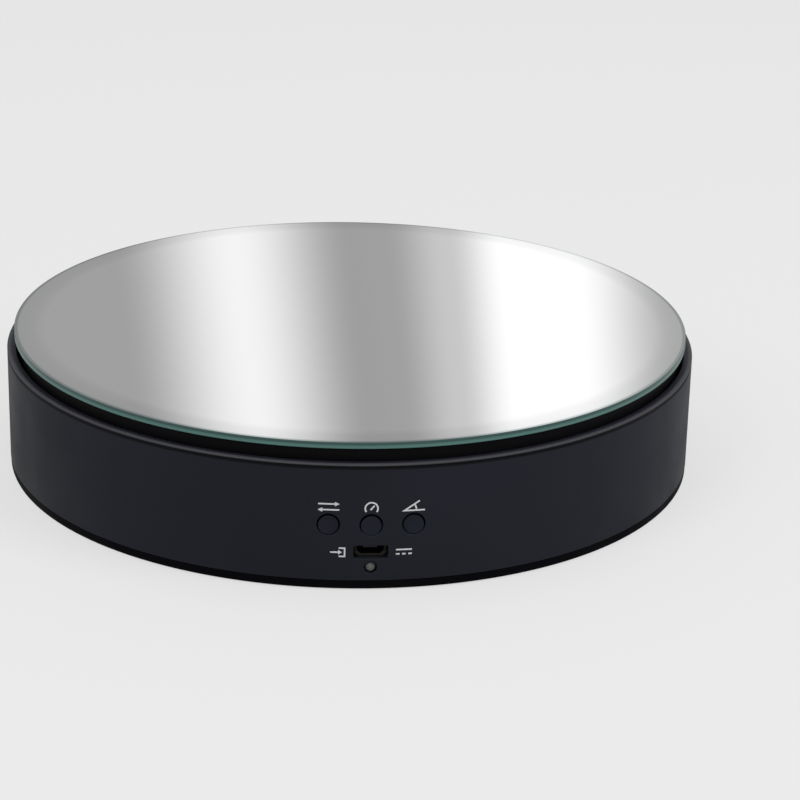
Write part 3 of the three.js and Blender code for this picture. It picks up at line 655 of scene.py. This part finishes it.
def bottom_cover():
    """The flat cover with its locating lip, foot recesses and sunk screw holes."""
    edge = BODY_R - SEAM
    section = [
        (0, COVER["bottom"]), (edge, COVER["bottom"], 0.6), (edge, COVER["top"], 0.1),
        (COVER["lip_out"], COVER["top"]), (COVER["lip_out"], COVER["lip_top"], 0.2),
        (COVER["lip_in"], COVER["lip_top"], 0.2), (COVER["lip_in"], COVER["top"]), (0, COVER["top"]),
    ]
    piece = new_object("bottom_cover_shell", turned(rounded(section), ROUND))
    holes = [(FOOT["at_r"], a, FOOT["recess_r"], FOOT["recess_top"]) for a in QUARTERS]
    holes += [(SCREW["at_r"], a, SCREW["recess_r"], SCREW["seat"]) for a in DIAGONALS]
    holes += [(SCREW["at_r"], a, SCREW["bore_r"], COVER["lip_top"] + 1) for a in DIAGONALS]
    for at_r, angle, r, top in holes:
        bore = turned([(0, -1), (r, -1), (r, top), (0, top)], SMALL_ROUND)
        combined(piece, "DIFFERENCE", [moved(bore, shift(*polar(at_r, angle)))])
    return finish_piece(piece, "base", cover_black(), "black_cover", "bottom_cover")


def feet():
    """Four rubber pads, each with a shallow round hollow in its sole."""
    material = foot_rubber()
    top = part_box("foot_1")[1].z / MM
    r = FOOT["r"]
    section = [(0, 0.2), (4.4, 0.2, 0.15), (4.8, 0, 0.15), (r, 0, 0.4), (r, top, 0.1), (0, top)]
    for number, angle in enumerate(QUARTERS, 1):
        bm = moved(turned(rounded(section), SMALL_ROUND), shift(*polar(FOOT["at_r"], angle)))
        finish_piece(new_object(f"foot_pad_{number}", bm), "base", material, "rubber", f"foot_{number}")


def screw(head_r, head_h, shank_r, length):
    """A pan-head screw with its head below z = 0, a cross recess and rolled threads above."""
    pitch = shank_r * 0.55
    threads = []
    z = 0.8
    while z < length - 2 * pitch:
        threads += [(shank_r * 0.8, z), (shank_r, z + pitch / 2)]
        z += pitch
    section = [
        (0, -head_h), (head_r * 0.55, -head_h), (head_r, -head_h * 0.4, head_h * 0.35),
        (head_r, 0, 0.08), (shank_r * 0.8, 0), *threads, (shank_r * 0.8, z), (0, length),
    ]
    piece = new_object("screw", turned(rounded(section), 32))
    arm, half, deep = head_r * 0.52, head_r * 0.12, -head_h * 0.35
    for turn in (0, math.pi / 2):
        blade = block(-arm, arm, -half, half, -head_h - 1, deep)
        combined(piece, "DIFFERENCE", [moved(blade, Matrix.Rotation(turn, 4, "Z"))])
    return bmesh_of(piece)


# ---------------------------------------------------------------- platter and mirror


def platter():
    """The smooth disc and skirt, joined to the hub, ribs and roller track of the CAD node."""
    r, hole, inner = PLATTER["r"], PLATTER["hole"], PLATTER["r"] - PLATTER["skirt"]
    section = [
        (hole, PLATTER["plate"]), (inner, PLATTER["plate"], 0.8), (inner, PLATTER["skirt_z"], 0.3),
        (r, PLATTER["skirt_z"], 0.3), (r, PLATTER["top"], 0.5), (hole, PLATTER["top"]),
    ]
    piece = new_object("platter_disc", turned(rounded(section), ROUND))
    limit_r, limit_top = inner + 0.5, PLATTER["top"] - 1.0
    keep = turned([(0, 20), (limit_r, 20), (limit_r, limit_top), (0, limit_top)], ROUND)
    combined(piece, "UNION", [bmesh_of(cad_copy("platter", keep))])
    return finish_piece(piece, "turntable", platter_black(), "black_platter", "platter")


def mirror():
    """The round mirror: a silvered face, a green ground edge with arrises, and a painted back."""
    low, r, arris = TOP_Z - MIRROR["thick"], MIRROR["r"], MIRROR["arris"]
    section = [
        (0, low), (r - arris, low), (r, low + arris),
        (r, TOP_Z - arris), (r - arris, TOP_Z), (0, TOP_Z),
    ]
    piece = new_object("mirror_plate", turned(section, ROUND))
    finish_piece(piece, "turntable", None, "mirror_glass", "mirror")
    for material in (glass_edge(), silver(), mirror_back()):
        piece.data.materials.append(material)
    for face in piece.data.polygons:
        face.material_index = 1 if face.normal.z > 0.9 else 2 if face.normal.z < -0.9 else 0
    return piece


def tape():
    low, high = (v.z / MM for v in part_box("mirror_tape"))
    inner, outer = TAPE["inner"], TAPE["outer"]
    bm = turned([(inner, low), (outer, low), (outer, high), (inner, high)], ROUND)
    ring = new_object("tape_ring", bm)
    return finish_piece(ring, "turntable", white_tape(), "white_tape", "mirror_tape")


# ---------------------------------------------------------------- control panel


def button_caps():
    """Three caps with eased rims and dished faces, a little below the wall."""
    material = cap_black()
    r, dish_r, dish = BUTTON["r"], BUTTON["r"] - 0.3, 0.15
    for name, x in BUTTONS.items():
        reach = abs(x) + r if x else 0.0
        face = math.sqrt(BODY_R**2 - reach**2) - BUTTON["sunk"]
        flange, flange_r = -BUTTON["pad_y"] - SEAM, BUTTON["flange_r"]
        body = [
            (0, flange - 0.6), (flange_r, flange - 0.6, 0.1), (flange_r, flange, 0.1),
            (r, flange), (r, face, 0.12),
        ]
        rim = rounded(body + [(0, face)])[:-1]
        hollow = [(dish_r * k / 8, face - dish * (1 - (k / 8) ** 2)) for k in range(8, -1, -1)]
        bm = moved(turned(rim + hollow, SMALL_ROUND), along_y(x, BUTTON["z"] - BUTTON["sag"]))
        node = f"button_{name}"
        finish_piece(new_object(f"cap_{name}", bm), node, material, "black_cap", node)


def socket_outline(grow, z):
    """The micro-B mouth: square upper corners and chamfered lower ones, all rounded."""
    w, h, chamfer = SOCKET["width"] / 2 + grow, SOCKET["height"] / 2 + grow, 0.9
    r = 0.35 + grow / 2
    corners = [
        (-w, h, r), (-w, chamfer - h, r), (chamfer - w, -h, r),
        (w - chamfer, -h, r), (w, chamfer - h, r), (w, h, r),
    ]
    return [(x, y, z) for x, y in rounded(corners)]


def usb_shell():
    """The folded metal sleeve with its flared mouth."""
    back, front = (-v.y / MM for v in reversed(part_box("usb_shell")))
    sheet = SOCKET["sheet"]
    outside = [(back, 0.0), (front - 0.4, 0.0), (front - 0.2, 0.1), (front - 0.05, 0.28), (front, 0.35)]
    inside = [(front, 0.18), (front - 0.12, 0.0), (front - 0.3, -sheet), (back, -sheet)]
    rings = [socket_outline(grow, y) for y, grow in outside + inside]
    bm = moved(loft(rings, closed=True), along_y(0, SOCKET["z"]))
    return finish_piece(new_object("usb_sleeve", bm), "base", nickel(), "steel", "usb_shell")


def usb_tongue():
    """The insulator with its tongue, and five gold contacts under the tongue."""
    back, front = (-v.y / MM for v in reversed(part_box("usb_tongue")))
    inside = SOCKET["height"] / 2 - SOCKET["sheet"]
    width, thick = TONGUE["width"], TONGUE["thick"]
    top = inside - TONGUE["down"]
    bottom = top - thick
    base_front = back + TONGUE["base"]
    base = loft([socket_outline(-SOCKET["sheet"] - SEAM, y) for y in (back, base_front)])
    stations = [(base_front - 0.1, 0), (front - 0.2, 0), (front, 0.2)]
    rings = [rounded_rectangle(width - s, thick - s, 0.15, y) for y, s in stations]
    tongue = moved(loft(rings), shift(0, (top + bottom) / 2))
    piece = new_object("usb_insulator", base)
    combined(piece, "UNION", [tongue])
    place = along_y(0, SOCKET["z"])
    piece.data.transform(place.to_3x3().to_4x4())
    piece.data.transform(Matrix.Translation(place.translation * MM))
    finish_piece(piece, "base", chip_epoxy(), "switch_black", "usb_tongue")
    half, low_z, high_z = CONTACT["half"], bottom - CONTACT["low"], bottom - CONTACT["high"]
    strips = [
        block(x - half, x + half, low_z, high_z, base_front + 0.1, front - CONTACT["short"])
        for x in CONTACT["at"]
    ]
    contacts = new_object("usb_contacts", moved(joined(*strips), place))
    finish_piece(contacts, "base", gold_contact(), "steel")


def status_lamp():
    """A domed 3 mm lamp with its flange and leads."""
    back, tip = (-v.y / MM for v in reversed(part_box("status_lamp")))
    r, flange_r, flange = LAMP["r"], LAMP["flange_r"], tip - LAMP["length"]
    flange_back, lead_x, half = flange - LAMP["flange"], LAMP["lead_x"], LAMP["lead_half"]
    angles = [k * math.pi / 20 for k in range(10, -1, -1)]
    dome = [(r * math.sin(t), tip - r + r * math.cos(t)) for t in angles]
    base = [(0, flange_back), (flange_r, flange_back, 0.1), (flange_r, flange, 0.1), (r, flange)]
    body = rounded(base) + dome
    leads = [
        block(x - half, x + half, -half, half, back, flange_back + 0.2) for x in (-lead_x, lead_x)
    ]
    piece = new_object("lamp_lens", turned(body, 48))
    combined(piece, "UNION", leads)
    place = along_y(0, LAMP["z"])
    piece.data.transform(place.to_3x3().to_4x4())
    piece.data.transform(Matrix.Translation(place.translation * MM))
    return finish_piece(piece, "base", lamp_lens(), "lamp_grey", "status_lamp")


# ---------------------------------------------------------------- printed signs


def stroke(points, width=LEGEND["line"]):
    """A line of that width through the points, mitred at its corners, as faces of four flat points."""
    pts = [Vector(p) for p in points]
    left, right = [], []
    for i, p in enumerate(pts):
        way_in = (p - pts[i - 1]).normalized() if i else None
        way_out = (pts[i + 1] - p).normalized() if i < len(pts) - 1 else None
        lead = way_in or way_out
        way = lead + (way_out or lead)
        side = Vector((-way.y, way.x)).normalized()
        reach = side * (width / 2 / side.dot(Vector((-lead.y, lead.x))))
        left.append(p + reach)
        right.append(p - reach)
    return [[left[i], right[i], right[i + 1], left[i + 1]] for i in range(len(pts) - 1)]


def arc(r, start, end, steps=16, centre=(0, 0)):
    """Points along an arc, with its angles in degrees."""
    angles = (math.radians(start + (end - start) * k / steps) for k in range(steps + 1))
    return [(centre[0] + r * math.cos(a), centre[1] + r * math.sin(a)) for a in angles]


def arrow(x0, x1, y, head=1.0, half=0.55):
    """A level arrow from x0 to x1."""
    thin = LEGEND["line"] / 2
    neck = x1 - math.copysign(head, x1 - x0)
    outline = [
        (x0, thin), (neck, thin), (neck, half), (x1, 0), (neck, -half), (neck, -thin), (x0, -thin),
    ]
    return [[Vector((x, y + dy)) for x, dy in outline]]


def sign_direction():
    """Two arrows, one each way."""
    return arrow(-2.7, 2.8, 0.8, 1.2, 0.58) + arrow(2.7, -2.8, -0.8, 1.2, 0.58)


def sign_speed():
    """A gauge: an open dial with a needle."""
    return stroke(arc(1.62, 215, -35, 24, (0, -0.35))) + stroke([(-0.25, -0.75), (0.75, 0.45)])


def sign_angle():
    """Two arms with an arc between them."""
    corner = (-2.5, -1.15)
    arms = stroke([(1.4, 1.45), corner, (2.8, -1.15)])
    return arms + stroke(arc(3.1, 5, 29, 8, corner))


def sign_input():
    """An arrow into a bracket."""
    bracket = stroke([(0.3, 1.15), (1.8, 1.15), (1.8, -1.15), (0.3, -1.15)])
    return arrow(-1.9, 1.15, 0.0, 1.0, 0.6) + bracket


def sign_direct_current():
    """A full line over a dashed one."""
    dashes = [stroke([(x - 0.46, -0.6), (x + 0.46, -0.6)]) for x in (-1.59, 0.0, 1.59)]
    return stroke([(-2.05, 0.6), (2.05, 0.6)]) + sum(dashes, [])


def printed(name, faces, along, z, material):
    """Flat faces printed on the wall, centred at that arc length from the panel's middle and height."""
    bm = bmesh.new()
    for face in faces:
        bm.faces.new([bm.verts.new((x, y, 0)) for x, y in face])
    bmesh.ops.remove_doubles(bm, verts=bm.verts, dist=0.001)
    for k in range(-7, 8):
        everything = bm.verts[:] + bm.edges[:] + bm.faces[:]
        cut = (k * LEGEND["strip"], 0, 0)
        bmesh.ops.bisect_plane(bm, geom=everything, plane_co=cut, plane_no=(1, 0, 0))
    made = bmesh.ops.extrude_face_region(bm, geom=bm.faces[:])["geom"]
    raised = {v for v in made if isinstance(v, bmesh.types.BMVert)}
    for v in bm.verts:
        angle = (along + v.co.x) / BODY_R
        r = BODY_R + (LEGEND["proud"] if v in raised else -LEGEND["sunk"])
        v.co = Vector((r * math.sin(angle), -r * math.cos(angle), z + v.co.y)) * MM
    bmesh.ops.recalc_face_normals(bm, faces=bm.faces)
    piece = new_object(name, bm)
    smooth(piece.data)
    piece.data.materials.append(material)
    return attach(piece, "base")


def signs():
    ink = legend_ink()
    over = LEGEND["z"]
    printed("sign_direction", sign_direction(), BUTTONS["direction"], over, ink)
    printed("sign_speed", sign_speed(), BUTTONS["speed"], over, ink)
    printed("sign_angle", sign_angle(), BUTTONS["angle"], over, ink)
    printed("sign_input", sign_input(), -LEGEND["beside"], SOCKET["z"], ink)
    printed("sign_direct_current", sign_direct_current(), LEGEND["beside"], SOCKET["z"], ink)


# ---------------------------------------------------------------- the CAD nodes that stay


def cad_looks():
    """Materials for the nodes whose shape is right as it is, with their hard edges eased."""
    steel, plate, oxide, white = ground_steel(), zinc_plate(), black_oxide(), nylon()
    epoxy, board = chip_epoxy(), solder_mask()
    looks = {
        "spindle": steel, "bearing_inner_ring": steel, "bearing_outer_ring": steel,
        "bearing_ball_cage": steel, "retaining_washer": plate, "retaining_screw": oxide,
        "motor_can": plate, "motor_end_plate": plate,
        "motor_wire_cover": blue_hood(), "motor_shaft": steel, "pinion": white, "ring_gear": white,
        "control_board": board, "motor_driver_chip": epoxy, "controller_chip": epoxy,
        "motor_header": white, "motor_plug": white, "motor_lead": lead_red(),
    }
    for name in BUTTONS:
        looks[f"switch_{name}"] = epoxy
        looks[f"plunger_{name}"] = white
    for number in range(1, 5):
        looks[f"roller_{number}"] = white
        looks[f"roller_axle_{number}"] = steel
        looks[f"gear_screw_{number}"] = oxide
    for number in (1, 2):
        looks[f"motor_screw_{number}"] = oxide
        looks[f"board_screw_{number}"] = oxide
    for name, material in looks.items():
        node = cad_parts[name]
        node.data.materials.clear()
        node.data.materials.append(material)
        edge = node.modifiers.new("eased_edges", "BEVEL")
        edge.width = 0.06 * MM
        edge.segments = 1
        edge.limit_method = "ANGLE"
        edge.angle_limit = math.radians(40)
        edge.use_clamp_overlap = True


def cover_screws():
    """The four screws that hold the bottom cover, sunk in it."""
    oxide = black_oxide()
    for number, angle in enumerate(DIAGONALS, 1):
        name = f"cover_screw_{number}"
        low, high = (v.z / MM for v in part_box(name))
        made = screw(SCREW["head_r"], SCREW["seat"] - low, SCREW["shank_r"], high - SCREW["seat"])
        bm = moved(made, shift(*polar(SCREW["at_r"], angle), SCREW["seat"]))
        finish_piece(new_object(f"cover_screw_cross_{number}", bm), "base", oxide, "black_screw", name)


# ---------------------------------------------------------------- stage, light and camera


def floor():
    """A plain pale floor. It glows softly, and more to the camera than to everything else."""
    r, low = STUDIO["floor_r"], -STUDIO["floor_thick"]
    bm = turned([(0, low), (r, low), (r, 0), (0, 0)], 96)
    ground = new_object("floor", bm)
    paint = Paint("studio_floor", linear(*STUDIO["floor"]), 0.9).set("Specular IOR Level", 0.1)
    paint.tint(paint.noise(1.5), scaled(linear(*STUDIO["floor"]), 0.995), linear(*STUDIO["floor"]))
    paint.set("Emission Color", (1, 1, 1, 1))
    seen = paint.node("ShaderNodeLightPath").outputs["Is Camera Ray"]
    glow = paint.span(seen, STUDIO["floor_bounce"], STUDIO["floor_glow"], 0.0, 1.0)
    paint.link(glow, paint.shader.inputs["Emission Strength"])
    ground.data.materials.append(paint.material)


def camera_axes():
    """The camera's right, up and forward directions."""
    e, roll = math.radians(CAMERA["elevation"]), math.radians(CAMERA["roll"])
    forward = Vector((0, math.cos(e), -math.sin(e)))
    level_up = Vector((0, math.sin(e), math.cos(e)))
    right = Vector((1, 0, 0)) * math.cos(roll) + level_up * math.sin(roll)
    up = right.cross(forward)
    turn = Matrix.Rotation(math.radians(CAMERA["azimuth"]), 3, "Z")
    return turn @ right, turn @ up, turn @ forward


def camera():
    right, up, forward = camera_axes()
    aim = Vector((0, 0, CAMERA_AIM_Z)) + right * CAMERA_SLIDE[0] + up * CAMERA_SLIDE[1]
    place = aim - forward * CAMERA["distance"]
    data = bpy.data.cameras.new("camera")
    data.lens = CAMERA["lens"]
    data.clip_start = 0.01
    data.clip_end = 20.0
    made = bpy.data.objects.new("camera", data)
    axes = Matrix((right, up, -forward)).transposed().to_4x4()
    made.matrix_world = Matrix.Translation(place * MM) @ axes
    bpy.context.scene.collection.objects.link(made)
    bpy.context.scene.camera = made


def area_light(name, place, aim, width, height, watts):
    """A soft rectangular light that no reflection shows. Its place and aim are in metres."""
    data = bpy.data.lights.new(name, "AREA")
    data.shape = "RECTANGLE"
    data.size, data.size_y = width, height
    data.energy = watts
    made = bpy.data.objects.new(name, data)
    made.location = place
    made.visible_glossy = False
    made.rotation_euler = (Vector(aim) - Vector(place)).to_track_quat("-Z", "Y").to_euler()
    bpy.context.scene.collection.objects.link(made)


def studio_walls():
    """The room's light: soft upright panels side by side round the stand, and a plain pale ceiling.

    The camera sees a plain backdrop in their place. Reflections and the stand's lighting use the panels.
    """
    world = bpy.data.worlds.new("studio")
    world.use_nodes = True
    tree = world.node_tree
    nodes, links = tree.nodes, tree.links
    shader = nodes["Background"]

    def maths(operation, *inputs):
        made = nodes.new("ShaderNodeMath")
        made.operation = operation
        for socket, value in zip(made.inputs, inputs):
            if isinstance(value, (int, float)):
                socket.default_value = value
            else:
                links.new(value, socket)
        return made.outputs[0]

    way = nodes.new("ShaderNodeTexCoord").outputs["Generated"]
    split = nodes.new("ShaderNodeSeparateXYZ")
    links.new(way, split.inputs["Vector"])
    x, y, z = split.outputs
    azimuth = maths("MULTIPLY", maths("ARCTAN2", x, y), 180 / math.pi)
    slanted = maths("ADD", azimuth, maths("MULTIPLY", z, -STUDIO["slant"]))
    periods = maths("DIVIDE", maths("SUBTRACT", slanted, STUDIO["first"]), STUDIO["period"])
    phase = maths("FRACT", periods)
    panels = nodes.new("ShaderNodeValToRGB")
    panels.color_ramp.interpolation = "EASE"
    elements = panels.color_ramp.elements
    while len(elements) < len(STUDIO["panels"]):
        elements.new(0.5)
    for element, (degrees, level) in zip(elements, STUDIO["panels"]):
        element.position = degrees / STUDIO["period"]
        element.color = (level, level, level, 1)
    links.new(phase, panels.inputs["Fac"])

    ceiling = nodes.new("ShaderNodeMapRange")
    ceiling.interpolation_type = "SMOOTHSTEP"
    ceiling.inputs["From Min"].default_value = STUDIO["panel_top"]
    ceiling.inputs["From Max"].default_value = STUDIO["ceiling_from"]
    links.new(z, ceiling.inputs["Value"])
    room = nodes.new("ShaderNodeMix")
    room.data_type = "RGBA"
    links.new(ceiling.outputs["Result"], room.inputs["Factor"])
    links.new(panels.outputs["Color"], room.inputs[6])
    room.inputs[7].default_value = (STUDIO["ceiling"],) * 3 + (1,)

    seen = nodes.new("ShaderNodeMix")
    seen.data_type = "RGBA"
    links.new(nodes.new("ShaderNodeLightPath").outputs["Is Camera Ray"], seen.inputs["Factor"])
    links.new(room.outputs[2], seen.inputs[6])
    seen.inputs[7].default_value = linear(*STUDIO["backdrop"])
    links.new(seen.outputs[2], shader.inputs["Color"])
    bpy.context.scene.world = world


housing()
bottom_cover()
feet()
cover_screws()
platter()
mirror()
tape()
button_caps()
usb_shell()
usb_tongue()
status_lamp()
signs()
cad_looks()

floor()
studio_walls()
for light in LIGHTS:
    area_light(*light)
camera()
bpy.context.scene.view_settings.view_transform = "Standard"
